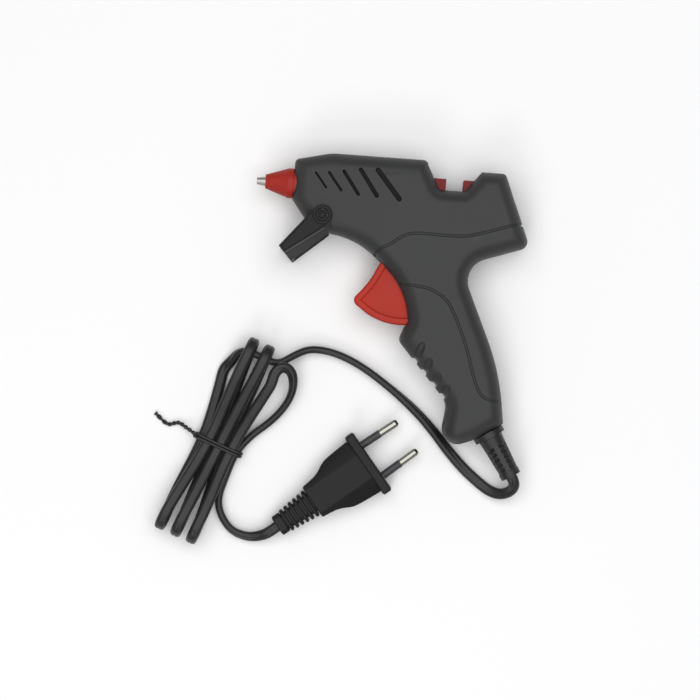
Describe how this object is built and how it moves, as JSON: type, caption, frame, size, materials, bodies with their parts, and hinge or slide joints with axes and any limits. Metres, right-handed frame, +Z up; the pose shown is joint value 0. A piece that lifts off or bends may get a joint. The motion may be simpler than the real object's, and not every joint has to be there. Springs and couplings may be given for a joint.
{
  "type": "hot glue applicator",
  "caption": "Pistol-shaped mini hot glue applicator with a charcoal housing, red trigger and nozzle cap, folding stand, rear stick inlet and a tied cord with a two-pin plug.",
  "frame": {"origin": "middle of the side view of housing and nozzle, on the surface that the object lies on", "axes": "+X from the nozzle towards the stick inlet, +Y from the grip's end towards the top, +Z up from the surface, out of the left side"},
  "size_m": [0.1861, 0.2005, 0.0282],
  "materials": {
    "housing": "fine satin moulding",
    "steel": "plain steel",
    "nozzle_metal": "cast and turned alloy",
    "cap_red": "satin silicone",
    "trigger_red": "satin moulding",
    "carriage_red": "satin moulding",
    "heater_ceramic": "plain ceramic",
    "insulation": "amber film",
    "cord_black": "smooth flexible sheath",
    "tie_black": "coated wire",
    "plug_black": "moulded flexible plastic",
    "pin_metal": "nickel plate",
    "sleeve_grey": "plain moulding",
    "wire_brown": "plain sheath",
    "wire_blue": "plain sheath"
  },
  "bodies": {
    "gun": {"housing_left": "housing", "housing_right": "housing", "housing_screws": "steel", "nozzle_tip": "nozzle_metal", "nozzle_cap": "cap_red", "melt_chamber": "nozzle_metal", "heating_tablet": "heater_ceramic", "contact_upper": "steel", "contact_lower": "steel", "heater_insulation": "insulation", "heater_clip": "steel", "inlet_sleeve": "cord_black", "sleeve_clamp": "steel", "stick_guide": "housing", "trigger_pin": "steel", "return_spring": "steel", "stand_rivets": "housing", "cord_guard": "cord_black", "cord_clamp": "housing", "cord_clamp_screws": "steel", "wire_live": "wire_brown", "wire_neutral": "wire_blue", "wire_crimps": "steel", "cord_lead": "cord_black", "cord_hank": "cord_black", "cord_tail": "cord_black", "cord_tie": "tie_black", "plug_body": "plug_black", "plug_guard": "plug_black", "plug_pins": "pin_metal", "plug_pin_sleeves": "sleeve_grey"},
    "trigger": {"trigger": "trigger_red"},
    "carriage": {"feed_carriage": "carriage_red", "feed_gripper": "steel"},
    "stand": {"stand": "housing"}
  },
  "joints": [
    {"name": "trigger_pull", "type": "hinge", "parent": "gun", "child": "trigger", "pos_m": [0.00905, 0.02332, 0.014], "axis": [0, 0, 1], "range_deg": [0, 18], "stiffness_Nm_per_rad": 0.3, "deforming": ["return_spring"]},
    {"name": "feed_slide", "type": "slide", "parent": "gun", "child": "carriage", "axis": [-1, 0, 0], "range_m": [0, 0.0065]},
    {"name": "stand_fold", "type": "hinge", "parent": "gun", "child": "stand", "pos_m": [-0.03445, 0.03862, 0.014], "axis": [0, 0, 1], "range_deg": [0, 80]}
  ],
  "couplings": [
    {"joint": "feed_slide", "follows": "trigger_pull", "m_per_rad": 0.020263}
  ]
}
